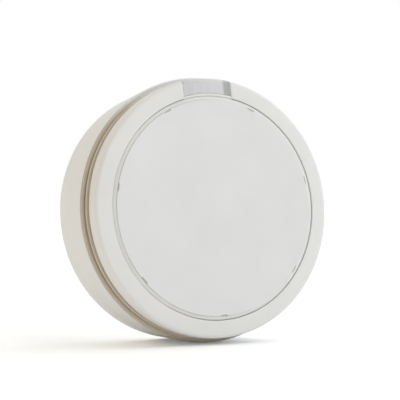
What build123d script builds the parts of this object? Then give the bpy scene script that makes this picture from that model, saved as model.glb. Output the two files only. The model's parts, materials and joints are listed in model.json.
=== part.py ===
from build123d import *

import os
from math import cos, pi, radians, sin

# Wall-hung smoke and heat detector, in millimetres.
# The origin is the middle of the mounting plate's back face, on the wall.
# +Z is up, the front faces -Y, and the indicator window is at the top.
# Heights called _h are distances from the wall, which run along -Y.

os.makedirs("parts", exist_ok=True)

# Mounting plate
plate_t = 2.4
plate_rim_t = 2.0
plate_rim_rise = 3.2
plate_skirt_gap = 3.0
plate_rib_rise = 0.9
plate_rib_t = 1.4
plate_rib_count = 8
plate_window_r = 31.0
plate_window_round = 2.5
slot_land_in = 8.0
slot_land_width = 12.0
land_round_share = 0.4
slot_spacing = 60.0
slot_length = 9.0
slot_width = 4.5

# Bayonet between the plate and the head
tab_count = 4
tab_first = 45.0
tab_half = 8.0
tab_reach = 2.4
tab_t = 1.4
tab_play = 0.3
catch_half = 7.0
catch_t = 2.0
catch_tip_gap = 0.4
catch_first_gap = 0.4
stop_arc = 2.0

# Rear housing
wall_gap = 0.6
shell = 2.0
housing_taper = 2.0
rim_step = 2.0
rim_round = 0.9
back_round = 0.6
rim_lip = 1.6
floor_gap = 1.4
floor_t = 1.8
ledge_t = 1.2
ledge_depth = 3.3
ledge_reach = 3.4
gusset_count = 16
gusset_t = 1.2
gusset_reach = 4.0
gusset_rise = 9.0

# Cells and their bay
cell_d = 17.0
cell_length = 34.5
cell_nub_d = 5.6
cell_nub_t = 1.0
cell_gap = 0.8
cell_door_gap = 0.4
cell_round = 0.6
bay_side_gap = 0.6
bay_wall = 1.5
contact_t = 0.4
contact_gap = 0.15
contact_width = 11.0
contact_neck_width = 3.6
contact_dimple_r = 2.2
contact_dimple_t = 0.5
contact_dimple_taper = 30.0
cell_spring_length = 4.6
cell_spring_r = 4.2
cell_spring_wire = 0.35
cell_spring_turns = 3

# Battery door
door_play = 0.3
door_t = 1.6
hinge_drop = 2.0
hinge_out = 2.1
knuckle_r = 1.7
knuckle_width = 5.0
knuckle_x = 9.5
lug_width = 3.0
lug_gap = 0.3
pin_r = 0.9
pin_play = 0.05
door_arm_length = 7.0
door_rib_t = 1.0
door_rib_rise = 0.6
door_rib_count = 5
door_rib_pitch = 2.2
finger_width = 12.0
finger_depth = 2.4

# Circuit board
pcb_gap = 0.8
pcb_t = 1.6
pcb_margin = 3.5

# Cover with its ring, and the inlet gap behind it
sill = 0.9
inlet_gap = 4.5
cover_r = 57.0
cover_side = 6.8
cover_wall = 1.8
cover_round = 1.9
edge_round = 0.45
ring_rise = 0.7
ring_width = 7.7
collar_t = 1.7
collar_lift = 0.2
shelf_drop = 4.5
shelf_t = 1.4
shelf_width = 9.3

# Screw bosses
boss_count = 4
boss_first = 45.0
boss_inset = 5.8
boss_r = 3.5
screw_r = 1.4
screw_play = 0.05
screw_head_r = 2.7
screw_head_t = 2.2
screw_head_play = 0.3
screw_bite = 5.0
screw_deep = 11.0

# Indicator window, at the top: a hollow translucent block in a notch with straight sides
window_middle = 90.0
notch_x = 11.65
notch_lip = 1.0
notch_wall = 2.0
notch_arc = 40.0
window_fit = 0.1
window_sink = 0.3
window_skin = 1.2
window_plate_half = 15.0
window_t = 1.5
window_drop = 0.1
window_leg_t = 3.5
led_length = 3.2
led_width = 1.6
led_t = 1.1
led_count = 3
led_step = 7.0
led_gap = 0.5

# Inlet grille
grille_gap = 0.3
grille_width = 2.7
grille_floor_t = 1.2
grille_floor_width = 4.0
vane_count = 40
vane_t = 0.9
rib_t = 0.9
rib_reach = 0.6
rib_share = 0.5
grille_top_gap = 0.4
grille_top_t = 1.2
grille_gap_half = 16.5

# Test button
button_gap = 0.3
button_proud = 0.5
button_bevel = 1.35
button_bevel_drop = 1.05
button_skirt_t = 1.4
button_web_t = 1.4
button_travel = 0.5
button_stop_gap = 0.6
disc_t = 1.0
disc_proud = 0.35
disc_gap = 0.1
disc_edge = 0.15
notch_count = 7
notch_length = 3.7
notch_depth = 0.7
hook_count = 3
hook_first = 0.0
hook_inset = 2.6
hook_t = 1.2
hook_width = 4.0
hook_barb = 0.9
hook_barb_t = 0.9
hook_play = 0.3
spring_count = 3
spring_first = 60.0
spring_inset = 4.9
spring_r = 2.25
spring_wire = 0.25
spring_turns = 6
cup_play = 0.5
cup_wall = 0.6
cup_floor_t = 0.8
cup_lift = 2.4
stud_r = 1.6
stud_length = 1.2

# Button switch on the board
switch_inset = 6.0
switch_size = 6.2
switch_round = 0.5
switch_t = 3.4
plunger_r = 1.7
plunger_rise = 1.2
plunger_in = 1.2
plunger_play = 0.05
actuator_r = 2.0
actuator_gap = 0.1

# Smoke chamber
chamber_margin = 2.4
chamber_base_t = 1.6
chamber_room = 1.1
chamber_cap_t = 1.5
fin_count = 14
fin_t = 1.2
fin_inner_r = 16.5
fin_outer_r = 20.6
fin_turn = 9.0
screen_t = 0.5
screen_gap = 0.3
screen_post_count = 24
screen_post_t = 1.6
emitter_r = 1.5
emitter_length = 4.6
emitter_reach = 12.6
emitter_half_angle = 62.0
holder_wall = 0.9
eye_play = 0.1

# Sounder below the board
sounder_r = 12.5
sounder_t = 8.0
sounder_wall = 1.2
sounder_gap = 1.7
sounder_hole_r = 2.0
piezo_r = 10.6
piezo_t = 0.3
piezo_ceramic_r = 7.2
piezo_ceramic_t = 0.25
piezo_shelf_t = 1.0

# Anti-tamper switch
tamper_x = 29.5
tamper_z = -20.5
tamper_size = 6.2
tamper_t = 4.0
tamper_rod_r = 1.5
tamper_tip = 0.4
tamper_hole_play = 0.3
tamper_land_gap = 0.3
tamper_in = 2.0
tamper_travel = 0.8

# Heat sensor and small parts
heat_angle = 330.0
heat_bead_r = 1.1
heat_lead_r = 0.3
heat_lead_pitch = 1.4
heat_out = 3.2
heat_rise = 3.0
radio_x = 33.5
radio_z = 3.0
radio_width = 15.0
radio_length = 20.0
radio_t = 1.0
can_margin = 1.2
can_round = 0.4
can_t = 2.0
antenna_start = 188.0
antenna_arc = 26.0
antenna_t = 0.6
antenna_rise = 2.0
chip_size = 8.0
chip_t = 1.2
chip_places = [(31.0, 8.0), (-31.0, 10.0), (-33.0, -8.0), (31.0, -9.0)]
capacitor_r = 3.2
capacitor_t = 8.0
capacitor_places = [(36.0, 20.0), (-20.0, -34.0)]

# Heights from the wall
plate_top_h = plate_t + plate_rim_rise
floor_back_h = plate_top_h + floor_gap
floor_h = floor_back_h + floor_t
cell_h = floor_h + cell_door_gap + cell_d / 2
pcb_back_h = cell_h + cell_d / 2 + pcb_gap
pcb_h = pcb_back_h + pcb_t
housing_h = pcb_h + sill
cover_back_h = housing_h + inlet_gap
ring_edge_h = cover_back_h + cover_side
ring_inner_h = ring_edge_h + ring_rise
shelf_h = ring_inner_h - shelf_drop
shelf_back_h = shelf_h - shelf_t
face_h = ring_inner_h + button_proud
disc_back_h = face_h - disc_t
web_back_h = disc_back_h - button_web_t
skirt_h = shelf_h + button_travel + button_stop_gap
ledge_h = housing_h - ledge_depth
tab_back_h = plate_top_h - tab_t
catch_h = tab_back_h - tab_play
window_h = cover_back_h - window_drop
window_back_h = window_h - window_t
chamber_base_h = pcb_h + chamber_base_t
chamber_h = web_back_h - button_travel - chamber_room
chamber_cap_h = chamber_h - chamber_cap_t
cup_back_h = pcb_h + cup_lift
cup_floor_h = cup_back_h + cup_floor_t
switch_h = pcb_h + switch_t
plunger_h = switch_h + plunger_rise
hinge_h = floor_back_h - hinge_drop
rib_h = housing_h + inlet_gap * rib_share - rib_t / 2

# Radii
housing_r = cover_r + rim_step
housing_back_r = housing_r - housing_taper
ring_inner_r = cover_r - ring_width
plate_r = housing_back_r - shell - plate_skirt_gap
tab_r = plate_r + tab_reach
catch_r = plate_r + catch_tip_gap
boss_circle_r = ring_inner_r - boss_inset
pcb_r = boss_circle_r + pcb_margin
shelf_r = ring_inner_r - shelf_width
collar_r = ring_inner_r + collar_t
spring_circle_r = ring_inner_r - spring_inset
hook_r = shelf_r + hook_inset
switch_z = switch_inset - shelf_r
chamber_r = fin_outer_r + chamber_margin
grille_r = cover_r - cover_wall - grille_gap
grille_inner_r = grille_r - grille_width
rib_r = cover_r + rib_reach
button_r = ring_inner_r - button_gap
disc_r = button_r - button_bevel - disc_gap
window_inner_r = boss_circle_r - window_leg_t / 2
cup_r = spring_r + spring_wire + cup_play + cup_wall

# Battery bay across X and Z
cell_x = (cell_d + cell_gap) / 2
bay_x = cell_x + cell_d / 2 + bay_side_gap
cell_top_z = cell_length / 2
bay_top_z = cell_top_z + contact_gap + contact_dimple_t + contact_t + contact_gap
cell_back_z = cell_top_z - cell_length
spring_plate_z = cell_back_z - contact_gap - cell_spring_length - contact_gap
bay_bottom_z = spring_plate_z - contact_t - contact_gap
hinge_z = bay_top_z + hinge_out
door_top_z = bay_top_z - door_play
door_bottom_z = bay_bottom_z + door_play
door_x = bay_x - door_play

out_axis = Axis((0, 0, 0), (0, -1, 0))


def level(height):
    # A plane parallel to the wall, X to the right, Z up, facing the front
    return Plane.XZ.offset(height)


def radial(angle):
    # A plane through the axis, with the radius as x and the height from the wall as y
    out = Vector(cos(radians(angle)), 0, sin(radians(angle)))
    return Plane(origin=(0, 0, 0), x_dir=out, z_dir=out.cross(Vector(0, -1, 0)))


def polar(radius, angle):
    return (radius * cos(radians(angle)), radius * sin(radians(angle)))


def ring_piece(r_in, r_out, h_low, h_high, start=0.0, arc=360.0, mode=Mode.ADD):
    # A ring or a sector of one, with a rectangular section
    with BuildSketch(radial(start)) as section:
        with Locations(((r_in + r_out) / 2, (h_low + h_high) / 2)):
            Rectangle(r_out - r_in, h_high - h_low)
    revolve(section.sketch, axis=out_axis, revolution_arc=arc, mode=mode)


def block(x_low, x_high, z_low, z_high, h_low, h_high, mode=Mode.ADD):
    with BuildSketch(level(h_low)) as foot:
        with Locations(((x_low + x_high) / 2, (z_low + z_high) / 2)):
            Rectangle(x_high - x_low, z_high - z_low)
    extrude(foot.sketch, amount=h_high - h_low, mode=mode)


def post(x, z, radius, h_low, h_high, mode=Mode.ADD):
    with BuildSketch(level(h_low)) as foot:
        with Locations((x, z)):
            Circle(radius)
    extrude(foot.sketch, amount=h_high - h_low, mode=mode)


def write(piece, name):
    piece.part.label = name
    export_step(piece.part, f"parts/{name}.step")


def housing_r_at(height):
    share = (height - wall_gap) / (housing_h - wall_gap)
    return housing_back_r + housing_taper * share


# Mounting plate: flat disc with slots, a round door window, a rim and the bayonet tabs
with BuildPart() as mounting_plate:
    with BuildSketch(level(0)) as disc:
        Circle(plate_r)
        with Locations((-slot_spacing / 2, 0), (slot_spacing / 2, 0)):
            SlotOverall(slot_length, slot_width, mode=Mode.SUBTRACT)
    extrude(disc.sketch, amount=plate_t)
    with BuildSketch(level(0)) as door_window:
        Circle(plate_window_r)
        with Locations((-slot_spacing / 2, 0), (slot_spacing / 2, 0)):
            Rectangle(2 * slot_land_in, slot_land_width, mode=Mode.SUBTRACT)
        land_reach = (plate_window_r**2 - slot_land_width**2 / 4) ** 0.5 - slot_spacing / 2 + slot_land_in
        fillet(door_window.vertices(), min(plate_window_round, land_reach * land_round_share))
    extrude(door_window.sketch, amount=plate_t, mode=Mode.SUBTRACT)
    ring_piece(plate_r - plate_rim_t, plate_r, plate_t, plate_top_h)
    rib_start_r = (tamper_x**2 + tamper_z**2) ** 0.5 + tamper_rod_r + plate_rib_t
    rib_end_r = plate_r - plate_rim_t / 2
    with BuildSketch(level(plate_t)) as ribs:
        with PolarLocations((rib_start_r + rib_end_r) / 2, plate_rib_count, 360 / plate_rib_count / 2):
            Rectangle(rib_end_r - rib_start_r, plate_rib_t)
    extrude(ribs.sketch, amount=plate_rib_rise)
    for number in range(tab_count):
        middle = tab_first + number * 360 / tab_count
        ring_piece(rib_end_r, tab_r, tab_back_h, plate_top_h, middle - tab_half, 2 * tab_half)
        stop_start = middle - catch_half - catch_first_gap - stop_arc
        ring_piece(rib_end_r, tab_r, plate_t, plate_top_h, stop_start, stop_arc)
write(mounting_plate, "mounting_plate")

# Rear housing: tapered drum with a floor, battery bay, bosses and bayonet catches
with BuildPart() as rear_housing:
    with BuildSketch(radial(0)) as drum:
        with BuildLine():
            Polyline(
                (housing_back_r, wall_gap),
                (housing_r, housing_h),
                (housing_r - rim_lip, housing_h),
                (housing_r - rim_lip, ledge_h),
                (housing_r - shell - ledge_reach, ledge_h),
                (housing_r - shell - ledge_reach, ledge_h - ledge_t),
                (housing_r_at(ledge_h - ledge_t - ledge_reach) - shell, ledge_h - ledge_t - ledge_reach),
                (housing_r_at(floor_h) - shell, floor_h),
                (0, floor_h),
                (0, floor_back_h),
                (housing_r_at(floor_back_h) - shell, floor_back_h),
                (housing_back_r - shell, wall_gap),
                close=True,
            )
        make_face()
        fillet(drum.vertices().group_by(Axis.X)[-1], rim_round)
        fillet(drum.vertices().group_by(Axis.Y)[0].sort_by(Axis.X)[-1:], back_round)
    revolve(axis=out_axis)
    gusset_r = housing_r_at(floor_h) - shell
    for number in range(gusset_count):
        with BuildSketch(radial((number + 0.5) * 360 / gusset_count)) as gusset:
            with BuildLine():
                Polyline(
                    (gusset_r - gusset_reach, floor_h - floor_t / 2),
                    (gusset_r + shell / 2, floor_h - floor_t / 2),
                    (gusset_r + shell / 2, floor_h + gusset_rise),
                    close=True,
                )
            make_face()
        extrude(gusset.sketch, amount=gusset_t / 2, both=True)
    with BuildSketch(level(floor_h)) as bay:
        with Locations((0, (bay_top_z + bay_bottom_z) / 2)):
            Rectangle(2 * (bay_x + bay_wall), bay_top_z - bay_bottom_z + 2 * bay_wall)
    extrude(bay.sketch, amount=pcb_back_h - pcb_gap / 2 - floor_h)
    block(-bay_x, bay_x, bay_bottom_z, bay_top_z, floor_back_h, pcb_back_h, mode=Mode.SUBTRACT)
    for number in range(boss_count):
        boss_x, boss_z = polar(boss_circle_r, boss_first + number * 360 / boss_count)
        post(boss_x, boss_z, boss_r, floor_back_h, pcb_back_h)
        post(boss_x, boss_z, screw_r + screw_head_play, floor_back_h, pcb_back_h, mode=Mode.SUBTRACT)
        head_room_r = screw_head_r + screw_head_play
        post(boss_x, boss_z, head_room_r, floor_back_h, floor_back_h + screw_deep, mode=Mode.SUBTRACT)
    post(tamper_x, tamper_z, tamper_rod_r + tamper_hole_play, floor_back_h, floor_h, mode=Mode.SUBTRACT)
    for number in range(tab_count):
        start = tab_first + number * 360 / tab_count - catch_half
        ring_piece(catch_r, housing_back_r - shell / 2, catch_h - catch_t, catch_h, start, 2 * catch_half)
    lug_in = knuckle_x + knuckle_width / 2 + lug_gap
    for lug_x in (-lug_in - lug_width, lug_in):
        with BuildSketch(Plane.YZ.offset(lug_x)) as lug:
            with Locations((-hinge_h, hinge_z)):
                Circle(knuckle_r)
            with Locations((-(hinge_h + floor_back_h + floor_t / 2) / 2, hinge_z)):
                Rectangle(floor_back_h + floor_t / 2 - hinge_h, 2 * knuckle_r)
            with Locations((-hinge_h, hinge_z)):
                Circle(pin_r + pin_play, mode=Mode.SUBTRACT)
        extrude(lug.sketch, amount=lug_width)
write(rear_housing, "rear_housing")

# Battery door: plate flush in the housing floor, with grip ribs and two hinge arms
with BuildPart() as battery_door:
    block(-door_x, door_x, door_bottom_z, door_top_z, floor_back_h, floor_back_h + door_t)
    with BuildSketch(level(floor_back_h - door_rib_rise)) as grips:
        with Locations((0, door_bottom_z + finger_depth + door_rib_pitch * door_rib_count / 2)):
            with GridLocations(0, door_rib_pitch, 1, door_rib_count):
                Rectangle(finger_width, door_rib_t)
    extrude(grips.sketch, amount=door_rib_rise + door_t / 2)
    with BuildSketch(level(floor_back_h)) as finger:
        with Locations((0, door_bottom_z)):
            RectangleRounded(finger_width, 2 * finger_depth, finger_depth / 2)
    extrude(finger.sketch, amount=door_t / 2, mode=Mode.SUBTRACT)
    for arm_x in (-knuckle_x - knuckle_width / 2, knuckle_x - knuckle_width / 2):
        with BuildSketch(Plane.YZ.offset(arm_x)) as arm:
            with BuildLine():
                Polyline(
                    (-floor_back_h - door_t / 2, door_top_z - door_arm_length),
                    (-floor_back_h - door_t / 2, door_top_z - lug_gap),
                    (-hinge_h - knuckle_r, door_top_z - lug_gap),
                    (-hinge_h - knuckle_r, hinge_z),
                    (-hinge_h + knuckle_r, hinge_z),
                    (-hinge_h + knuckle_r, hinge_z - knuckle_r),
                    (-floor_back_h + door_t / 2, door_top_z - door_arm_length),
                    close=True,
                )
            make_face()
            with Locations((-hinge_h, hinge_z)):
                Circle(knuckle_r)
                Circle(pin_r + pin_play, mode=Mode.SUBTRACT)
        extrude(arm.sketch, amount=knuckle_width)
write(battery_door, "battery_door")

with BuildPart() as door_pin:
    with BuildSketch(Plane.YZ.offset(-lug_in - lug_width)):
        with Locations((-hinge_h, hinge_z)):
            Circle(pin_r)
    extrude(amount=2 * (lug_in + lug_width))
write(door_pin, "door_pin")

# Two lithium cells side by side, upright
with BuildPart() as cells:
    with BuildSketch(Plane.XY.offset(cell_back_z)):
        with Locations((-cell_x, -cell_h), (cell_x, -cell_h)):
            Circle(cell_d / 2)
    extrude(amount=cell_length - cell_nub_t)
    fillet(cells.edges().filter_by(GeomType.CIRCLE), cell_round)
    with BuildSketch(Plane.XY.offset(cell_top_z - cell_nub_t)):
        with Locations((-cell_x, -cell_h), (cell_x, -cell_h)):
            Circle(cell_nub_d / 2)
    extrude(amount=cell_nub_t)
write(cells, "cells")

# Positive contacts: two sprung plates with a dimple, standing at the bay's top
with BuildPart() as positive_contacts:
    contact_z = cell_top_z + contact_gap + contact_dimple_t
    with BuildSketch(Plane.XY.offset(contact_z)):
        with Locations((-cell_x, -cell_h), (cell_x, -cell_h)):
            Rectangle(contact_width, contact_width)
        with Locations((-cell_x, -(cell_h + pcb_back_h) / 2), (cell_x, -(cell_h + pcb_back_h) / 2)):
            Rectangle(contact_neck_width, pcb_back_h - cell_h)
    extrude(amount=contact_t)
    for side_x in (-cell_x, cell_x):
        with BuildSketch(Plane.XY.offset(contact_z)) as dimple:
            with Locations((side_x, -cell_h)):
                Circle(contact_dimple_r)
        extrude(dimple.sketch, amount=-contact_dimple_t, taper=contact_dimple_taper)
write(positive_contacts, "positive_contacts")

# Negative contacts: plates with coil springs at the bay's bottom
with BuildPart() as one_cell_spring:
    with BuildLine() as coil:
        Helix(
            pitch=(cell_spring_length - 2 * cell_spring_wire) / cell_spring_turns,
            height=cell_spring_length - 2 * cell_spring_wire,
            radius=cell_spring_r,
            center=(0, 0, cell_spring_wire),
        )
    with BuildSketch(Plane(origin=coil.line @ 0, z_dir=coil.line % 0)):
        Circle(cell_spring_wire)
    sweep(is_frenet=True)
with BuildPart() as negative_contacts:
    with BuildSketch(Plane.XY.offset(spring_plate_z - contact_t)):
        with Locations((-cell_x, -cell_h), (cell_x, -cell_h)):
            Rectangle(contact_width, contact_width)
        with Locations((-cell_x, -(cell_h + pcb_back_h) / 2), (cell_x, -(cell_h + pcb_back_h) / 2)):
            Rectangle(contact_neck_width, pcb_back_h - cell_h)
    extrude(amount=contact_t + cell_spring_wire / 2)
    with Locations((-cell_x, -cell_h, spring_plate_z), (cell_x, -cell_h, spring_plate_z)):
        add(one_cell_spring.part)
write(negative_contacts, "negative_contacts")

# Main circuit board
with BuildPart() as main_pcb:
    with BuildSketch(level(pcb_back_h)):
        Circle(pcb_r)
        with PolarLocations(boss_circle_r, boss_count, boss_first):
            Circle(screw_r + screw_head_play, mode=Mode.SUBTRACT)
    extrude(amount=pcb_t)
write(main_pcb, "main_pcb")

# The walls beside the window's notch, and the notch itself, between planes across X
notch_start = window_middle - notch_arc / 2
with BuildPart() as notch_fill:
    fill_r = cover_r - cover_wall / 2
    fill_h = ring_edge_h - cover_wall / 2
    ring_piece(collar_r - collar_t / 2, fill_r, cover_back_h, fill_h, notch_start, notch_arc)
    wall_x = notch_x + notch_wall
    block(-wall_x, wall_x, 0, cover_r, cover_back_h, fill_h, mode=Mode.INTERSECT)
with BuildPart() as notch_cut:
    ring_piece(ring_inner_r + notch_lip, housing_r, cover_back_h, face_h, notch_start, notch_arc)
    block(-notch_x, notch_x, 0, housing_r, cover_back_h, face_h, mode=Mode.INTERSECT)

# Front cover: ring face, side wall, collar and inner shelf, with the notch for the window
with BuildPart() as front_cover:
    with BuildSketch(radial(0)) as shell_section:
        with BuildLine():
            Polyline(
                (ring_inner_r, ring_inner_h),
                (cover_r, ring_edge_h),
                (cover_r, cover_back_h),
                (cover_r - cover_wall, cover_back_h),
                (cover_r - cover_wall, ring_edge_h - cover_wall),
                (collar_r, ring_edge_h - cover_wall + ring_rise / 2),
                (collar_r, cover_back_h + collar_lift),
                (ring_inner_r, cover_back_h + collar_lift),
                (ring_inner_r, shelf_back_h),
                (shelf_r, shelf_back_h),
                (shelf_r, shelf_h),
                (ring_inner_r, shelf_h),
                close=True,
            )
        make_face()
        fillet(shell_section.vertices().group_by(Axis.X)[-1].sort_by(Axis.Y)[-1:], cover_round)
        fillet(shell_section.vertices().sort_by(Axis.Y)[-1:], edge_round)
    revolve(axis=out_axis)
    add(notch_fill.part)
    add(notch_cut.part, mode=Mode.SUBTRACT)
    for number in range(boss_count):
        boss_x, boss_z = polar(boss_circle_r, boss_first + number * 360 / boss_count)
        post(boss_x, boss_z, boss_r, pcb_h, shelf_back_h + shelf_t / 2)
        pilot_h = pcb_h + screw_bite + screw_play
        post(boss_x, boss_z, screw_r + screw_play, pcb_h, pilot_h, mode=Mode.SUBTRACT)
    for number in range(spring_count):
        cup_x, cup_z = polar(spring_circle_r, spring_first + number * 360 / spring_count)
        post(cup_x, cup_z, cup_r, cup_back_h, shelf_h)
        post(cup_x, cup_z, cup_r - cup_wall, cup_floor_h, shelf_h, mode=Mode.SUBTRACT)
    with BuildSketch(level(shelf_back_h)) as hook_slots:
        with PolarLocations(hook_r + hook_barb / 2, hook_count, hook_first):
            Rectangle(hook_t + hook_barb + 2 * hook_play, hook_width + 2 * hook_play)
    extrude(hook_slots.sketch, amount=shelf_t, mode=Mode.SUBTRACT)
write(front_cover, "front_cover")

# Front skin of the window: it follows the ring a little below its face, and turns down at the rim
lens_inner_r = ring_inner_r + notch_lip + window_fit
lens_inner_h = ring_inner_h - ring_rise * (lens_inner_r - ring_inner_r) / ring_width - window_sink
lens_edge_h = ring_edge_h - window_sink
with BuildPart() as window_lens:
    with BuildSketch(radial(notch_start)) as lens_section:
        with BuildLine():
            Polyline(
                (lens_inner_r, lens_inner_h),
                (cover_r, lens_edge_h),
                (cover_r, window_h - window_t / 2),
                (cover_r - window_skin, window_h - window_t / 2),
                (cover_r - window_skin, lens_edge_h - window_skin),
                (lens_inner_r, lens_inner_h - window_skin),
                close=True,
            )
        make_face()
        fillet(lens_section.vertices().group_by(Axis.X)[-1].sort_by(Axis.Y)[-1:], cover_round)
    revolve(lens_section.sketch, axis=out_axis, revolution_arc=notch_arc)
    lens_x = notch_x - window_fit
    block(-lens_x, lens_x, 0, housing_r, window_back_h, face_h, mode=Mode.INTERSECT)

# Indicator window: the skin, the plate behind it and a leg down to the lamps
with BuildPart() as indicator_window:
    plate_start = window_middle - window_plate_half
    ring_piece(window_inner_r, cover_r, window_back_h, window_h, plate_start, 2 * window_plate_half)
    leg_back_h = pcb_h + led_t + led_gap
    leg_r = window_inner_r + window_leg_t
    ring_piece(window_inner_r, leg_r, leg_back_h, window_back_h, plate_start, 2 * window_plate_half)
    add(window_lens.part)
write(indicator_window, "indicator_window")

with BuildPart() as status_leds:
    with BuildSketch(level(pcb_h)):
        for number in range(led_count):
            led_angle = window_middle + (number - (led_count - 1) / 2) * led_step
            with Locations(Location((*polar(boss_circle_r, led_angle), 0), led_angle)):
                Rectangle(led_width, led_length)
    extrude(amount=led_t)
write(status_leds, "status_leds")

# Inlet grille: foot ring, spacer vanes, the thin rib in the gap and a top ring
with BuildPart() as inlet_grille:
    grille_h = ring_edge_h - cover_wall - grille_top_gap
    ring_piece(grille_r - grille_floor_width, grille_r, ledge_h, ledge_h + grille_floor_t)
    ring_piece(grille_inner_r, rib_r, rib_h, rib_h + rib_t)
    ring_piece(grille_inner_r, grille_r, grille_h - grille_top_t, grille_h)
    with BuildSketch(level(ledge_h + grille_floor_t / 2)):
        with PolarLocations((grille_inner_r + grille_r) / 2, vane_count, 180 / vane_count):
            Rectangle(grille_width - vane_t / 4, vane_t)
    extrude(amount=grille_h - grille_top_t / 2 - ledge_h - grille_floor_t / 2)
    gap_start = window_middle - grille_gap_half
    gap_inner_r = grille_inner_r - grille_width
    gap_arc = 2 * grille_gap_half
    ring_piece(gap_inner_r, housing_r, rib_h + rib_t, ring_edge_h, gap_start, gap_arc, mode=Mode.SUBTRACT)
write(inlet_grille, "inlet_grille")

# Test button: bevelled cap with skirt, hooks, spring studs and the rod over the switch
with BuildPart() as button_cap:
    with BuildSketch(radial(0)):
        with BuildLine():
            Polyline(
                (0, web_back_h),
                (0, disc_back_h),
                (disc_r + disc_gap, disc_back_h),
                (disc_r + disc_gap, face_h - disc_proud),
                (button_r, face_h - button_bevel_drop),
                (button_r, skirt_h),
                (button_r - button_skirt_t, skirt_h),
                (button_r - button_skirt_t, web_back_h),
                close=True,
            )
        make_face()
    revolve(axis=out_axis)
    post(0, switch_z, actuator_r, plunger_h + actuator_gap, web_back_h + button_web_t / 2)
    for number in range(spring_count):
        stud_x, stud_z = polar(spring_circle_r, spring_first + number * 360 / spring_count)
        post(stud_x, stud_z, stud_r, web_back_h - stud_length, web_back_h + button_web_t / 2)
    hook_back_h = shelf_back_h - hook_play - hook_barb_t
    for number in range(hook_count):
        with BuildSketch(radial(hook_first + number * 360 / hook_count)) as hook:
            with BuildLine():
                Polyline(
                    (hook_r - hook_t / 2, hook_back_h),
                    (hook_r + hook_t / 2, hook_back_h),
                    (hook_r + hook_t / 2 + hook_barb, hook_back_h + hook_barb_t / 2),
                    (hook_r + hook_t / 2 + hook_barb, hook_back_h + hook_barb_t),
                    (hook_r + hook_t / 2, hook_back_h + hook_barb_t),
                    (hook_r + hook_t / 2, web_back_h + button_web_t / 2),
                    (hook_r - hook_t / 2, web_back_h + button_web_t / 2),
                    close=True,
                )
            make_face()
        extrude(hook.sketch, amount=hook_width / 2, both=True)
write(button_cap, "button_cap")

# Face disc in the cap's recess, with small notches round its edge
with BuildPart() as face_disc:
    with BuildSketch(level(disc_back_h)):
        Circle(disc_r)
    extrude(amount=disc_t)
    chamfer(face_disc.edges().filter_by(GeomType.CIRCLE).sort_by(Axis.Y)[:1], disc_edge)
    with BuildSketch(level(disc_back_h)) as notches:
        with PolarLocations(disc_r, notch_count, window_middle + 180):
            SlotOverall(notch_length, 2 * notch_depth, rotation=90)
    extrude(notches.sketch, amount=disc_t, mode=Mode.SUBTRACT)
write(face_disc, "face_disc")

# Return springs of the button, in the cover's cups
with BuildPart() as one_button_spring:
    spring_rise = web_back_h - cup_floor_h - 2 * spring_wire - 2 * plunger_play
    with BuildLine() as wire:
        Helix(
            pitch=spring_rise / spring_turns,
            height=spring_rise,
            radius=spring_r,
            center=(0, -(cup_floor_h + spring_wire + plunger_play), 0),
            direction=(0, -1, 0),
        )
    with BuildSketch(Plane(origin=wire.line @ 0, z_dir=wire.line % 0)):
        Circle(spring_wire)
    sweep(is_frenet=True)
with BuildPart() as button_springs:
    for number in range(spring_count):
        coil_x, coil_z = polar(spring_circle_r, spring_first + number * 360 / spring_count)
        with Locations((coil_x, 0, coil_z)):
            add(one_button_spring.part)
write(button_springs, "button_springs")

# Push switch under the button, and its plunger
with BuildPart() as button_switch:
    half = switch_size / 2
    block(-half, half, switch_z - half, switch_z + half, pcb_h, switch_h)
    plunger_room_h = switch_h - plunger_in - button_travel - plunger_play
    post(0, switch_z, plunger_r + plunger_play, plunger_room_h, switch_h, mode=Mode.SUBTRACT)
    fillet(button_switch.edges().filter_by(Axis.Y).filter_by(GeomType.LINE), switch_round)
write(button_switch, "button_switch")

with BuildPart() as switch_plunger:
    post(0, switch_z, plunger_r, switch_h - plunger_in, plunger_h)
write(switch_plunger, "switch_plunger")

# Smoke chamber: base with labyrinth fins and two holders, cap, screen and its two eyes
emitter_h = (chamber_base_h + chamber_cap_h) / 2
with BuildPart() as chamber_base:
    post(0, 0, chamber_r, pcb_h, chamber_base_h)
    with BuildSketch(level(chamber_base_h - chamber_base_t / 2)):
        for number in range(fin_count):
            turn = (number + 0.5) * 360 / fin_count
            bend_r = (fin_inner_r + fin_outer_r) / 2
            with BuildLine() as fin:
                Polyline(polar(fin_inner_r, turn), polar(bend_r, turn + fin_turn), polar(fin_outer_r, turn))
            trace(fin.line, fin_t)
    extrude(amount=chamber_cap_h - screen_gap - chamber_base_h + chamber_base_t / 2)
    for side in (-1, 1):
        aim = window_middle + 180 + side * emitter_half_angle
        aim_x, aim_z = polar(emitter_reach, aim)
        holder = Plane(origin=(aim_x, -emitter_h, aim_z), z_dir=(cos(radians(aim)), 0, sin(radians(aim))))
        with BuildSketch(holder.offset(-emitter_length / 2)) as tube:
            Rectangle(2 * (emitter_r + holder_wall), 2 * (emitter_r + holder_wall))
        extrude(tube.sketch, amount=emitter_length)
        with BuildSketch(holder.offset(-emitter_length / 2)) as eye_hole:
            Circle(emitter_r + eye_play)
        extrude(eye_hole.sketch, amount=emitter_length + fin_outer_r, mode=Mode.SUBTRACT)
        foot_h = chamber_base_h - chamber_base_t / 2
        post(aim_x, aim_z, emitter_r, foot_h, emitter_h - emitter_r - holder_wall / 2)
write(chamber_base, "chamber_base")

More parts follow.
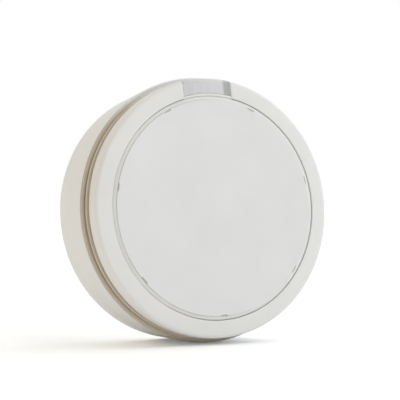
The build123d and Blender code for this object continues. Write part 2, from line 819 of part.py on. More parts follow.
for name, side in (("ir_led", -1), ("photodiode", 1)):
    aim = window_middle + 180 + side * emitter_half_angle
    aim_x, aim_z = polar(emitter_reach, aim)
    holder = Plane(origin=(aim_x, -emitter_h, aim_z), z_dir=(cos(radians(aim)), 0, sin(radians(aim))))
    with BuildPart() as eye:
        with BuildSketch(holder.offset(-emitter_length / 2 + emitter_r)):
            Circle(emitter_r)
        extrude(amount=emitter_length - emitter_r)
        with Locations(holder.offset(-emitter_length / 2 + emitter_r).location):
            Sphere(emitter_r)
    write(eye, name)

with BuildPart() as chamber_cap:
    post(0, 0, chamber_r, chamber_cap_h, chamber_h)
    lip_r = chamber_r - screen_t - 2 * screen_gap
    ring_piece(lip_r - screen_t, lip_r, chamber_cap_h - 2 * screen_gap, chamber_cap_h + chamber_cap_t / 2)
write(chamber_cap, "chamber_cap")

with BuildPart() as insect_screen:
    screen_r = chamber_r - screen_gap
    ring_piece(screen_r - screen_t, screen_r, chamber_base_h, chamber_cap_h)
    with BuildSketch(level(chamber_base_h + screen_t)):
        with PolarLocations(screen_r, screen_post_count):
            Rectangle(4 * screen_t, 2 * pi * screen_r / screen_post_count - screen_post_t)
    extrude(amount=chamber_cap_h - chamber_base_h - 2 * screen_t, mode=Mode.SUBTRACT)
write(insect_screen, "insect_screen")

# Sounder below the board: resonator cup with its sound hole, and the piezo disc
sounder_x = -(bay_x + bay_wall + sounder_gap + sounder_r)
sounder_back_h = pcb_back_h - sounder_t
with BuildPart() as sounder_case:
    post(sounder_x, 0, sounder_r, sounder_back_h, pcb_back_h)
    cup_h = sounder_back_h + sounder_wall
    post(sounder_x, 0, sounder_r - sounder_wall, cup_h, pcb_back_h, mode=Mode.SUBTRACT)
    post(sounder_x, 0, sounder_r - sounder_wall / 2, cup_h - sounder_wall / 2, cup_h + piezo_shelf_t)
    post(sounder_x, 0, piezo_r - piezo_shelf_t, cup_h, pcb_back_h, mode=Mode.SUBTRACT)
    post(sounder_x, 0, sounder_hole_r, sounder_back_h, pcb_back_h, mode=Mode.SUBTRACT)
write(sounder_case, "sounder_case")

with BuildPart() as piezo_disc:
    piezo_h = cup_h + piezo_shelf_t
    post(sounder_x, 0, piezo_r, piezo_h, piezo_h + piezo_t)
    post(sounder_x, 0, piezo_ceramic_r, piezo_h + piezo_t, piezo_h + piezo_t + piezo_ceramic_t)
write(piezo_disc, "piezo_disc")

# Anti-tamper switch and the rod that rests over the mounting plate
tamper_back_h = pcb_back_h - tamper_t
with BuildPart() as tamper_switch:
    with BuildSketch(level(tamper_back_h)) as tamper_body:
        with Locations((tamper_x, tamper_z)):
            Rectangle(tamper_size, tamper_size)
    extrude(tamper_body.sketch, amount=tamper_t)
    pocket_r = tamper_rod_r + plunger_play
    pocket_h = tamper_back_h + tamper_in + tamper_travel + plunger_play
    post(tamper_x, tamper_z, pocket_r, tamper_back_h, pocket_h, mode=Mode.SUBTRACT)
write(tamper_switch, "tamper_switch")

with BuildPart() as tamper_rod:
    post(tamper_x, tamper_z, tamper_rod_r, plate_t + tamper_land_gap, tamper_back_h + tamper_in)
    tip = tamper_rod.faces().sort_by(Axis.Y)[-1]
    chamfer(tip.edges(), tamper_tip)
write(tamper_rod, "tamper_rod")

# Heat sensor bead on two leads, in the air that comes through the inlet
with BuildPart() as heat_sensor:
    bead_r = pcb_r + heat_out
    bead_x, bead_z = polar(bead_r, heat_angle)
    with Locations((bead_x, -(pcb_h + heat_rise), bead_z)):
        Sphere(heat_bead_r)
    across = Vector(-sin(radians(heat_angle)), 0, cos(radians(heat_angle)))
    for side in (-0.5, 0.5):
        lead_x, lead_z = polar(pcb_r - heat_out / 2, heat_angle)
        foot = Vector(lead_x, -pcb_h, lead_z) + across * (side * heat_lead_pitch)
        knee = Vector(lead_x, -pcb_h - heat_rise / 2, lead_z) + across * (side * heat_lead_pitch)
        end = Vector(bead_x, -pcb_h - heat_rise, bead_z)
        with BuildLine() as lead:
            Polyline(foot, knee, end)
        with BuildSketch(Plane(origin=foot, z_dir=(0, -1, 0))) as wire_end:
            Circle(heat_lead_r)
        sweep(wire_end.sketch, path=lead.line, transition=Transition.ROUND)
write(heat_sensor, "heat_sensor")

# Radio board with its shield can, below the main board
with BuildPart() as radio_board:
    radio_low_h = pcb_back_h - radio_t
    with BuildSketch(level(radio_low_h)) as radio_outline:
        with Locations((radio_x, radio_z)):
            Rectangle(radio_width, radio_length)
    extrude(radio_outline.sketch, amount=radio_t)
write(radio_board, "radio_board")

with BuildPart() as shield_can:
    with BuildSketch(level(radio_low_h - can_t)) as can_outline:
        with Locations((radio_x, radio_z)):
            Rectangle(radio_width - 2 * can_margin, radio_length - 2 * can_margin)
    extrude(can_outline.sketch, amount=can_t)
    fillet(shield_can.faces().sort_by(Axis.Y)[-1].edges(), can_round)
write(shield_can, "shield_can")

with BuildPart() as antenna:
    antenna_r = pcb_r - antenna_t
    ring_piece(antenna_r - antenna_t, antenna_r, pcb_h, pcb_h + antenna_rise, antenna_start, antenna_arc)
write(antenna, "antenna")

with BuildPart() as circuit_chips:
    with BuildSketch(level(pcb_h)):
        with Locations(*chip_places):
            Rectangle(chip_size, chip_size)
    extrude(amount=chip_t)
write(circuit_chips, "circuit_chips")

with BuildPart() as capacitors:
    with BuildSketch(level(pcb_back_h - capacitor_t)):
        with Locations(*capacitor_places):
            Circle(capacitor_r)
    extrude(amount=capacitor_t)
write(capacitors, "capacitors")

# Four screws from the back, through the board and into the cover's bosses
with BuildPart() as case_screws:
    head_h = floor_back_h + screw_deep
    with BuildSketch(level(head_h - screw_head_t)) as heads:
        with PolarLocations(boss_circle_r, boss_count, boss_first):
            Circle(screw_head_r)
    extrude(heads.sketch, amount=screw_head_t)
    with BuildSketch(level(head_h)) as shanks:
        with PolarLocations(boss_circle_r, boss_count, boss_first):
            Circle(screw_r)
    extrude(shanks.sketch, amount=pcb_h + screw_bite - head_h)
write(case_screws, "case_screws")
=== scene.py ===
import json
from math import cos, pi, radians, sin

import bmesh
import bpy
import numpy as np
from mathutils import Matrix, Vector


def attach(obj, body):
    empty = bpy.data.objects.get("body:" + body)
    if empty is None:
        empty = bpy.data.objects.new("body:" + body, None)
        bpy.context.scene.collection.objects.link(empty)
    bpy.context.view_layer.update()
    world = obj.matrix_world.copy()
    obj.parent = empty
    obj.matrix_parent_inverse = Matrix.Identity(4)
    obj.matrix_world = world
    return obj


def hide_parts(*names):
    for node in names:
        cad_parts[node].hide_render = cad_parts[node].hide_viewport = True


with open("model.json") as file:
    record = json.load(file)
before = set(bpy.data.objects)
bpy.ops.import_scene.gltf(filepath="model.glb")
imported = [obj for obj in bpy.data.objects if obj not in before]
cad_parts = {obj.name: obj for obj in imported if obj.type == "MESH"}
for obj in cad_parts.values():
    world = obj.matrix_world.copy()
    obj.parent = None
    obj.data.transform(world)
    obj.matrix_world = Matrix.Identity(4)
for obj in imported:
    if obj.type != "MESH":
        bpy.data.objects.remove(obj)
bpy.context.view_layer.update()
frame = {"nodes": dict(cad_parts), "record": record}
mm = 0.001                       # every dictionary below is in millimetres and degrees
print("frame loaded:", len(frame["nodes"]), "nodes")


# Shapes

def onCircle(radius, degrees):
    return radius * cos(radians(degrees)), radius * sin(radians(degrees))


def roundedOutline(corners, steps=6):
    # Rows are radius, height from the wall and fillet. Each corner becomes an arc that touches both
    # sides: its centre lies on the bisector, fillet / sin(half angle) away from the corner.
    rows = np.array(corners, float)
    place, fillet = rows[:, :2], rows[:, 2]
    before = np.roll(place, 1, 0) - place
    after = np.roll(place, -1, 0) - place
    before /= np.linalg.norm(before, axis=1)[:, None]
    after /= np.linalg.norm(after, axis=1)[:, None]
    half = np.arccos(np.clip((before * after).sum(1), -1, 1)) / 2
    middle = before + after
    middle /= np.maximum(np.linalg.norm(middle, axis=1), 1e-9)[:, None]
    centre = place + middle * (fillet / np.sin(half))[:, None]
    first = place + before * (fillet / np.tan(half))[:, None] - centre
    last = place + after * (fillet / np.tan(half))[:, None] - centre
    start = np.arctan2(first[:, 1], first[:, 0])
    turn = (np.arctan2(last[:, 1], last[:, 0]) - start + pi) % (2 * pi) - pi
    angle = start[:, None] + turn[:, None] * np.linspace(0, 1, steps + 1)
    arc = np.stack([np.cos(angle), np.sin(angle)], -1) * fillet[:, None, None]
    return (centre[:, None] + arc).reshape(-1, 2)


def lathe(outline, degrees, wholeTurn=True, centre=(0.0, 0.0)):
    # A point is centre + radius * (cos a, sin a) across the wall plane and -height along Y.
    # The outline may differ from angle to angle, and the angle from point to point of the outline.
    # Open sectors get a cap at each end.
    angle = np.radians(np.asarray(degrees, float))
    angle = angle[:, None] if angle.ndim == 1 else angle
    outline = np.broadcast_to(outline, (len(angle),) + np.shape(outline)[-2:])
    radius, height = outline[..., 0], outline[..., 1]
    x = centre[0] + radius * np.cos(angle)
    z = centre[1] + radius * np.sin(angle)
    points = np.stack([x, -height, z], -1)
    rings, count = points.shape[:2]
    i = np.arange(rings if wholeTurn else rings - 1)[:, None]
    j = np.arange(count)[None, :]
    nextI, nextJ = (i + 1) % rings, (j + 1) % count
    quads = np.stack([i * count + j, nextI * count + j, nextI * count + nextJ, i * count + nextJ], -1)
    faces = quads.reshape(-1, 4).tolist()
    if not wholeTurn:
        faces += [list(range(count)), list(range((rings - 1) * count, rings * count))]
    return points.reshape(-1, 3), faces


def shrunk(outline, inset):
    # Moves each point of a closed outline inwards, square to the line between its two neighbours.
    along = np.roll(outline, -1, 0) - np.roll(outline, 1, 0)
    normal = np.stack([-along[:, 1], along[:, 0]], -1)
    normal /= np.maximum(np.linalg.norm(normal, axis=1), 1e-9)[:, None]
    following = np.roll(outline, -1, 0)
    area = (outline[:, 0] * following[:, 1] - following[:, 0] * outline[:, 1]).sum()
    return outline + normal * inset * np.sign(area)


def straightEnded(outlineAt, halfWidth, edge, into, extra=(), steps=60, middle=90.0):
    # A turned sector whose ends are planes beside the middle line, at the half width from it: the end
    # angle at a radius r is asin(distance / r). Each end starts shrunk by the edge's radius and grows
    # along a quarter circle. into is +1 for a piece outside the planes and -1 for one between them.
    # extra adds more planes of full size at those distances, and outlineAt gives the outline of each plane.
    quarter = np.radians([0, 25, 50, 70, 90])
    places = list(edge * (1 - np.cos(quarter))) + list(extra)
    insets = list(edge * (1 - np.sin(quarter))) + [0.0] * len(extra)
    ends = [shrunk(outlineAt(k), inset) for k, inset in enumerate(insets)]
    endTurn = [np.degrees(np.arcsin((halfWidth + into * place) / end[:, 0])) for end, place in zip(ends, places)]
    wayRound = 360 if into > 0 else 0
    first = [middle + into * turn for turn in endTurn]
    last = [middle + wayRound - into * turn for turn in endTurn]
    between = first[-1] + (last[-1] - first[-1]) * np.linspace(0, 1, steps)[1:-1, None]
    angles = np.concatenate([first, between, last[::-1]])
    rows = np.concatenate([ends, np.repeat(ends[-1][None], len(between), 0), ends[::-1]])
    return lathe(rows, angles, wholeTurn=False)


def radialBars(degrees, innerR, outerR, width, low, high):
    # One box for each angle: its corners are all signs of half the length, width and height,
    # turned by that angle about the middle of the part. low and high are one number or one for each bar.
    angle = np.radians(np.asarray(degrees, float))[:, None]
    low, high = (np.broadcast_to(level, len(angle))[:, None] for level in (low, high))
    side = np.array([[-1, -1, -1], [1, -1, -1], [1, 1, -1], [-1, 1, -1],
                     [-1, -1, 1], [1, -1, 1], [1, 1, 1], [-1, 1, 1]], float) / 2
    radius = (innerR + outerR) / 2 + side[:, 0] * (outerR - innerR)
    across = side[:, 1] * width
    height = (low + high) / 2 + side[:, 2] * (high - low)
    x = radius * np.cos(angle) - across * np.sin(angle)
    z = radius * np.sin(angle) + across * np.cos(angle)
    points = np.stack([x, -height, z], -1).reshape(-1, 3)
    box = np.array([[0, 3, 2, 1], [4, 5, 6, 7], [0, 1, 5, 4], [1, 2, 6, 5], [2, 3, 7, 6], [3, 0, 4, 7]])
    faces = (box + 8 * np.arange(len(angle))[:, None, None]).reshape(-1, 4).tolist()
    return points, faces


def addPiece(name, shapes, body, material, replaces, sharp=32):
    # Joins closed shapes into one object, merges doubled points and turns the faces outwards.
    points, faces, start = [], [], 0
    for shapePoints, shapeFaces in shapes:
        points.append(shapePoints * mm)
        faces += [[start + k for k in face] for face in shapeFaces]
        start += len(shapePoints)
    mesh = bpy.data.meshes.new(name)
    mesh.from_pydata(np.concatenate(points).tolist(), [], faces)
    work = bmesh.new()
    work.from_mesh(mesh)
    bmesh.ops.remove_doubles(work, verts=work.verts, dist=1e-6)
    bmesh.ops.recalc_face_normals(work, faces=work.faces)
    work.to_mesh(mesh)
    work.free()
    mesh.shade_smooth()
    mesh.set_sharp_from_angle(angle=radians(sharp))
    piece = bpy.data.objects.new(name, mesh)
    bpy.context.scene.collection.objects.link(piece)
    mesh.materials.append(material)
    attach(piece, body)
    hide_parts(*replaces)


# Materials

def startMaterial(name, **sockets):
    material = bpy.data.materials.new(name)
    material.use_nodes = True
    tree = material.node_tree
    surface = tree.nodes["Principled BSDF"]
    for socket, value in sockets.items():
        surface.inputs[socket.replace("_", " ")].default_value = value
    return material, tree, surface


def addNode(tree, kind, links=None, **inputs):
    node = tree.nodes.new(kind)
    for socket, value in inputs.items():
        node.inputs[socket.replace("_", " ")].default_value = value
    for socket, source in (links or {}).items():
        tree.links.new(source, node.inputs[socket])
    return node


def objectPlace(tree):
    return addNode(tree, "ShaderNodeTexCoord").outputs["Object"]


def twoTone(tree, factor, first, second):
    # Each colour is three numbers or the output of another node
    mix = tree.nodes.new("ShaderNodeMix")
    mix.data_type = "RGBA"
    tree.links.new(factor, mix.inputs[0])
    # the colour sockets are the third pair of a Mix node
    for socket, colour in ((mix.inputs[6], first), (mix.inputs[7], second)):
        if isinstance(colour, tuple):
            socket.default_value = (*colour, 1)
        else:
            tree.links.new(colour, socket)
    return mix.outputs[2]


def spread(tree, value, low, high, fromLow=0.3, fromHigh=0.7):
    node = addNode(tree, "ShaderNodeMapRange", {"Value": value}, From_Min=fromLow, From_Max=fromHigh,
                   To_Min=low, To_Max=high)
    return node.outputs["Result"]


def axisDistance(tree, place):
    # sqrt(x^2 + z^2): the length of the place with its Y taken out
    flat = addNode(tree, "ShaderNodeVectorMath", {0: place})
    flat.operation = "MULTIPLY"
    flat.inputs[1].default_value = (1, 0, 1)
    length = addNode(tree, "ShaderNodeVectorMath", {0: flat.outputs["Vector"]})
    length.operation = "LENGTH"
    return length.outputs["Value"]


def scaled(tree, value, factor):
    # The factor is a number or the output of another node
    node = addNode(tree, "ShaderNodeMath", {0: value})
    node.operation = "MULTIPLY"
    if isinstance(factor, float):
        node.inputs[1].default_value = factor
    else:
        tree.links.new(factor, node.inputs[1])
    return node.outputs[0]


def backdropRays(tree, kinds):
    # 1 for the kinds of ray that see the white backdrop, 0 for the rest
    path = addNode(tree, "ShaderNodeLightPath")
    found = path.outputs[kinds[0]]
    for kind in kinds[1:]:
        either = addNode(tree, "ShaderNodeMath", {0: found, 1: path.outputs[kind]})
        either.operation = "MAXIMUM"
        found = either.outputs[0]
    return found


def addBump(tree, surface, height, strength, distance):
    bump = addNode(tree, "ShaderNodeBump", {"Height": height}, Strength=strength, Distance=distance * mm)
    tree.links.new(bump.outputs["Normal"], surface.inputs["Normal"])


mouldedLook = {
    "cloudSize": 22.0, "cloudDetail": 3.0,      # slow change of tone across a moulding
    "grainSize": 0.32, "grainDetail": 2.0,      # spark-eroded texture of the mould
    "grainBump": 0.35, "grainDepth": 0.012,
    "toneChange": 0.02, "smoother": 0.04, "rougher": 0.05,
}


def mouldedPlastic(name, colour, roughness, grain=1.0, paintedShade=None, **sockets):
    material, tree, surface = startMaterial(name, **sockets)
    place = objectPlace(tree)
    look = mouldedLook
    cloud = addNode(tree, "ShaderNodeTexNoise", {"Vector": place}, Scale=1 / (look["cloudSize"] * mm),
                    Detail=look["cloudDetail"])
    light = tuple(c * (1 + look["toneChange"]) for c in colour)
    dark = tuple(c * (1 - look["toneChange"]) for c in colour)
    tone = twoTone(tree, spread(tree, cloud.outputs["Fac"], 0, 1), dark, light)
    if paintedShade:
        # Painted shade in the groove: the tone grows darker outwards from the inner colour to the outer one. It starts
        # at a height and fades out towards the top, where light falls on the rim.
        parts = addNode(tree, "ShaderNodeSeparateXYZ", {"Vector": place})
        front = spread(tree, parts.outputs["Y"], 0, 1, -paintedShade["low"] * mm, -paintedShade["high"] * mm)
        below = spread(tree, parts.outputs["Z"], 1, 0, paintedShade["fadeFrom"] * mm, paintedShade["fadeTo"] * mm)
        outward = spread(tree, axisDistance(tree, place), 0, 1, paintedShade["innerR"] * mm, paintedShade["outerR"] * mm)
        paintedTone = twoTone(tree, outward, paintedShade["inner"], paintedShade["outer"])
        tone = twoTone(tree, scaled(tree, front, below), tone, paintedTone)
    tree.links.new(tone, surface.inputs["Base Color"])
    fine = addNode(tree, "ShaderNodeTexNoise", {"Vector": place}, Scale=1 / (look["grainSize"] * mm),
                   Detail=look["grainDetail"])
    rough = spread(tree, fine.outputs["Fac"], roughness - look["smoother"], roughness + look["rougher"])
    tree.links.new(rough, surface.inputs["Roughness"])
    addBump(tree, surface, fine.outputs["Fac"], look["grainBump"] * grain, look["grainDepth"])
    return material


metalLook = {"lines": 900.0, "detail": 3.0, "dark": 0.9, "smoother": 0.08, "rougher": 0.1,
             "bump": 0.15, "depth": 0.01}


def brushedMetal(name, colour, roughness, along=(1, 1, 12)):
    material, tree, surface = startMaterial(name, Metallic=1.0)
    look = metalLook
    stretch = addNode(tree, "ShaderNodeMapping", {"Vector": objectPlace(tree)}, Scale=along)
    lines = addNode(tree, "ShaderNodeTexNoise", {"Vector": stretch.outputs["Vector"]}, Scale=look["lines"],
                    Detail=look["detail"])
    dark = tuple(c * look["dark"] for c in colour)
    tree.links.new(twoTone(tree, spread(tree, lines.outputs["Fac"], 0, 1), dark, colour), surface.inputs["Base Color"])
    rough = spread(tree, lines.outputs["Fac"], roughness - look["smoother"], roughness + look["rougher"])
    tree.links.new(rough, surface.inputs["Roughness"])
    addBump(tree, surface, lines.outputs["Fac"], look["bump"], look["depth"])
    return material


frostedLook = {
    "roughness": 0.3, "halfLength": 12.0,
    "streak": 620.0, "stretch": (1.6, 1, 0.3), "detail": 4.0, "streakChange": 0.1, "bump": 0.25, "depth": 0.03,
    # the painted shade at the right end: where it starts and ends along X, how strong it is and its colour
    "paintedShadeFrom": 7.9, "paintedShadeTo": 8.5, "paintedShadeShare": 0.62, "band": (0.32, 0.35, 0.33),
}


def frostedWindowPaintedLight(name, left, rightSide, alpha=1.0):
    # Painted light: a pale grey that grows lighter from the left value to the right one along X, as light falls through
    # the window's right side, with fine streaks
    look = frostedLook
    material, tree, surface = startMaterial(name, Roughness=look["roughness"], Alpha=alpha)
    place = objectPlace(tree)
    stretch = addNode(tree, "ShaderNodeMapping", {"Vector": place}, Scale=look["stretch"])
    streak = addNode(tree, "ShaderNodeTexNoise", {"Vector": stretch.outputs["Vector"]}, Scale=look["streak"],
                     Detail=look["detail"])
    along = addNode(tree, "ShaderNodeSeparateXYZ", {"Vector": place}).outputs["X"]
    reach = look["halfLength"] * mm
    paintedLightShare = spread(tree, along, 0, 1, -reach, reach)
    base = twoTone(tree, paintedLightShare, (left,) * 3, (rightSide,) * 3)
    dim = 1 - look["streakChange"]
    darker = twoTone(tree, paintedLightShare, (left * dim,) * 3, (rightSide * dim,) * 3)
    tone = twoTone(tree, spread(tree, streak.outputs["Fac"], 0, 1), darker, base)
    # painted shade: the right end is darker, standing in for the notch's shaded wall seen through the window
    paintedShadeAtEnd = spread(tree, along, 0, look["paintedShadeShare"], look["paintedShadeFrom"] * mm, look["paintedShadeTo"] * mm)
    tree.links.new(twoTone(tree, paintedShadeAtEnd, tone, look["band"]), surface.inputs["Base Color"])
    addBump(tree, surface, streak.outputs["Fac"], look["bump"], look["depth"])
    return material


boardLook = {
    "mask": (0.012, 0.10, 0.045), "track": (0.03, 0.19, 0.085), "pad": (0.62, 0.60, 0.52),
    "tracks": 160.0, "trackWidth": 0.035, "trackLength": 1.3, "trackPitch": 0.4,
    "pads": 260.0, "padR": 0.10, "padEdge": 0.13, "roughness": 0.38, "coat": 0.3, "bump": 0.3, "depth": 0.03,
}


def circuitBoard(name):
    # Solder mask over tracks, which are the mortar of a brick pattern, with round pads among them
    look = boardLook
    material, tree, surface = startMaterial(name, Roughness=look["roughness"], Coat_Weight=look["coat"])
    place = objectPlace(tree)
    turned = addNode(tree, "ShaderNodeMapping", {"Vector": place}, Rotation=(pi / 2, 0, 0))
    tracks = addNode(tree, "ShaderNodeTexBrick", {"Vector": turned.outputs["Vector"]}, Scale=look["tracks"],
                     Mortar_Size=look["trackWidth"], Brick_Width=look["trackLength"], Row_Height=look["trackPitch"])
    pads = addNode(tree, "ShaderNodeTexVoronoi", {"Vector": place}, Scale=look["pads"])
    mask = twoTone(tree, tracks.outputs["Fac"], look["mask"], look["track"])
    onPad = spread(tree, pads.outputs["Distance"], 1, 0, look["padR"], look["padEdge"])
    tree.links.new(twoTone(tree, onPad, mask, look["pad"]), surface.inputs["Base Color"])
    addBump(tree, surface, tracks.outputs["Fac"], look["bump"], look["depth"])
    return material


wrapLook = {
    "sleeve": (0.05, 0.07, 0.12), "ring": (0.55, 0.56, 0.58), "steel": (0.62, 0.62, 0.64),
    "sleeveHalf": 16.2, "ringHeight": 12.5, "ringHalf": 1.2,
    "wrinkles": 240.0, "detail": 2.0, "roughness": 0.3, "coat": 0.4, "bump": 0.2, "depth": 0.04,
}


def cellWrap(name):
    # Plain sleeve with bare steel ends, split by the height along Z, and one pale ring near the top
    look = wrapLook
    material, tree, surface = startMaterial(name, Roughness=look["roughness"], Coat_Weight=look["coat"])
    place = objectPlace(tree)
    height = addNode(tree, "ShaderNodeSeparateXYZ", {"Vector": place}).outputs["Z"]
    size = addNode(tree, "ShaderNodeMath", {0: height})
    size.operation = "ABSOLUTE"
    bare = addNode(tree, "ShaderNodeMath", {0: size.outputs[0]})
    bare.operation = "GREATER_THAN"
    bare.inputs[1].default_value = look["sleeveHalf"] * mm
    band = addNode(tree, "ShaderNodeMath", {0: height})
    band.operation = "COMPARE"
    band.inputs[1].default_value = look["ringHeight"] * mm
    band.inputs[2].default_value = look["ringHalf"] * mm
    sleeve = twoTone(tree, band.outputs[0], look["sleeve"], look["ring"])
    wrinkle = addNode(tree, "ShaderNodeTexNoise", {"Vector": place}, Scale=look["wrinkles"], Detail=look["detail"])
    tree.links.new(twoTone(tree, bare.outputs[0], sleeve, look["steel"]), surface.inputs["Base Color"])
    tree.links.new(bare.outputs[0], surface.inputs["Metallic"])
    addBump(tree, surface, wrinkle.outputs["Fac"], look["bump"], look["depth"])
    return material


lensLook = {"dark": (0.025, 0.018, 0.04), "light": (0.05, 0.035, 0.07), "swirls": 700.0, "detail": 2.0,
            "roughness": 0.12, "coat": 0.5}


def darkLens(name):
    look = lensLook
    material, tree, surface = startMaterial(name, Roughness=look["roughness"], Coat_Weight=look["coat"])
    swirl = addNode(tree, "ShaderNodeTexNoise", {"Vector": objectPlace(tree)}, Scale=look["swirls"],
                    Detail=look["detail"])
    tone = twoTone(tree, spread(tree, swirl.outputs["Fac"], 0, 1), look["dark"], look["light"])
    tree.links.new(tone, surface.inputs["Base Color"])
    return material


plasticWhite = (0.79, 0.785, 0.765)
faceWhite = (0.772, 0.77, 0.765)
# painted shade on the grille: darker on its outer rib, and painted light deep inside the groove, fading out towards the
# top where light falls
grillePaintedShade = {"low": 0.0, "high": 1.0, "fadeFrom": 44.0, "fadeTo": 52.0, "innerR": 54.9, "outerR": 56.5,
               "inner": (0.87, 0.80, 0.69), "outer": (0.66, 0.57, 0.455)}
looks = {
    "white_plastic": mouldedPlastic("whiteMoulding", plasticWhite, 0.5, Specular_IOR_Level=0.4),
    "shaded_plastic": mouldedPlastic("grilleMouldingPaintedShade", plasticWhite, 0.55, paintedShade=grillePaintedShade),
    "frosted_plastic": frostedWindowPaintedLight("frostedLightGuide", 0.79, 0.95),
    "black_plastic": mouldedPlastic("blackMoulding", (0.028, 0.028, 0.031), 0.5, grain=1.5),
    "dark_lens": darkLens("darkLens"),
    "green_board": circuitBoard("boardMask"),
    "cell_wrap": cellWrap("cellSleeve"),
    "steel": brushedMetal("nickelledSteel", (0.63, 0.63, 0.64), 0.3),
    "brass": brushedMetal("brightBrass", (0.66, 0.47, 0.2), 0.28),
    "can_aluminium": brushedMetal("drawnCan", (0.7, 0.7, 0.72), 0.33, along=(1, 12, 1)),
}
# painted shade on the drum's front rim, where the groove lies in shade: darker outwards, fading out towards the top,
# where light falls
drumRimPaintedShade = {"low": 28.55, "high": 28.95, "fadeFrom": 38.0, "fadeTo": 50.0, "innerR": 57.3, "outerR": 58.9,
           "inner": (0.78, 0.70, 0.585), "outer": (0.53, 0.47, 0.38)}
# the window's skin, the face and the drum each have their own variant of a slot's material; the drum's carries painted
# shade on its front rim
ownLooks = {
    "windowSkin": frostedWindowPaintedLight("frostedSkin", 0.80, 0.93, alpha=0.68),
    "face": mouldedPlastic("faceMoulding", faceWhite, 0.48, grain=0.7, Specular_IOR_Level=0.4),
    "drum": mouldedPlastic("drumMouldingPaintedShade", plasticWhite, 0.5, paintedShade=drumRimPaintedShade, Specular_IOR_Level=0.4),
}
slotOf = {entry["node"]: entry["material_slot"] for entry in frame["record"]["subparts"]}
for node, shape in frame["nodes"].items():
    shape.data.materials.clear()
    shape.data.materials.append(ownLooks["drum"] if node == "rear_housing" else looks[slotOf[node]])
print("materials ready:", len(looks) + len(ownLooks))


# Front cover: the ring, its side wall and the notch at the top

cover = {
    "outerR": 57.0, "innerR": 49.3, "edgeHeight": 40.8, "innerHeight": 41.5, "rearHeight": 34.0,
    "wall": 1.8, "collar": 1.7, "collarRear": 34.2, "roofRise": 0.35, "steps": 460,
    "edgeRound": 1.9, "innerRound": 0.3, "rearRound": 0.3, "wallRound": 0.2, "cornerRound": 0.4, "footRound": 0.15,
    "notchHalf": 11.65, "notchWall": 2.0, "notchEdge": 0.7, "planeGap": 0.02,
    "fillStep": 1.0, "fillRise": 0.1, "fillRound": 0.05,
    "lip": 1.0, "lipDrop": 0.45, "lipIn": 0.13, "lipHalf": 13.9, "lipRound": 0.15, "lipEdge": 0.1, "lap": 0.01,
    "shelfInner": 40.0, "shelfHeight": 37.0, "shelfThick": 1.4, "shelfLap": 0.1,
    "bossCircle": 43.5, "bossR": 3.5, "bossRear": 28.6, "pilotR": 1.45, "bossSink": 0.7,
    "cupCircle": 44.4, "cupR": 3.6, "cupWall": 0.6, "cupRear": 31.0, "cupFloor": 31.8,
    "cupProud": 0.02, "cupEdge": 0.05,
    "bossAngles": (45, 135, 225, 315), "cupAngles": (60, 180, 300),
}
c = cover
wallR, collarR, roof = c["outerR"] - c["wall"], c["innerR"] + c["collar"], c["edgeHeight"] - c["wall"]
ringFront = [(c["innerR"], c["innerHeight"], c["innerRound"]), (c["outerR"], c["edgeHeight"], c["edgeRound"]),
             (c["outerR"], c["rearHeight"], c["rearRound"])]
hollowBack = [(wallR, c["rearHeight"], c["wallRound"]), (wallR, roof, c["cornerRound"]),
              (collarR, roof + c["roofRise"], c["cornerRound"]), (collarR, c["collarRear"], c["footRound"])]
# beside the notch the same four corners lie in one nearly flat back, so the hollow is filled
filledBack = [(wallR, c["rearHeight"], c["fillRound"]),
              (wallR - c["fillStep"], c["rearHeight"] + c["fillRise"], c["fillRound"]),
              (collarR + c["fillStep"], c["collarRear"] - c["fillRound"], c["fillRound"]),
              (collarR, c["collarRear"], c["fillRound"])]
innerFoot = [(c["innerR"], c["collarRear"], c["footRound"])]
hollowRing = roundedOutline(ringFront + hollowBack + innerFoot, 8)
filledRing = roundedOutline(ringFront + filledBack + innerFoot, 8)
# Planes 0 to 4 round the notch's edge and 5 is the inside of its wall. The ring is hollow from the last one on.
wallPlane = 6
ring = straightEnded(lambda k: hollowRing if k == wallPlane else filledRing, c["notchHalf"], c["notchEdge"], 1,
                     extra=(c["notchWall"], c["notchWall"] + c["planeGap"]), steps=c["steps"])

lipInR, lipOutR = c["innerR"] - c["lipIn"], c["innerR"] + c["lip"] - c["lap"]
lipTop, lipFoot = c["innerHeight"] - c["lipDrop"], c["collarRear"] + c["lap"]
lip = roundedOutline([(lipInR, lipTop, c["lipRound"]), (lipOutR, lipTop, c["lipEdge"]),
                      (lipOutR, lipFoot, c["lipEdge"]), (lipInR, lipFoot, c["lipEdge"])], 6)
shelfOut, shelfLow = c["innerR"] + c["shelfLap"], c["shelfHeight"] - c["shelfThick"]
shelf = roundedOutline([(c["shelfInner"], c["shelfHeight"], c["wallRound"]), (shelfOut, c["shelfHeight"], 0),
                        (shelfOut, shelfLow, 0), (c["shelfInner"], shelfLow, c["wallRound"])], 3)
coverShapes = [ring, lathe(lip, np.linspace(90 - c["lipHalf"], 90 + c["lipHalf"], 50), wholeTurn=False),
               lathe(shelf, np.arange(0, 360, 1.5))]

bossTop, cupTop, cupIn = c["shelfHeight"] - c["bossSink"], c["shelfHeight"] + c["cupProud"], c["cupR"] - c["cupWall"]
tube = roundedOutline([(c["pilotR"], c["bossRear"], 0), (c["bossR"], c["bossRear"], c["rearRound"]),
                       (c["bossR"], bossTop, 0), (c["pilotR"], bossTop, 0)], 2)
cup = roundedOutline([(0, c["cupRear"], 0), (c["cupR"], c["cupRear"], c["rearRound"]),
                      (c["cupR"], cupTop, c["cupEdge"]), (cupIn, cupTop, c["cupEdge"]),
                      (cupIn, c["cupFloor"], c["wallRound"]), (0, c["cupFloor"], 0)], 3)
for outline, circle, angles in ((tube, c["bossCircle"], c["bossAngles"]), (cup, c["cupCircle"], c["cupAngles"])):
    for angle in angles:
        coverShapes.append(lathe(outline, np.arange(0, 360, 10), centre=onCircle(circle, angle)))
addPiece("coverRing", coverShapes, "head", looks["white_plastic"], ["front_cover"])
print("cover ring made")


# Indicator window: a translucent skin that follows the ring, and the pale plate and leg behind it

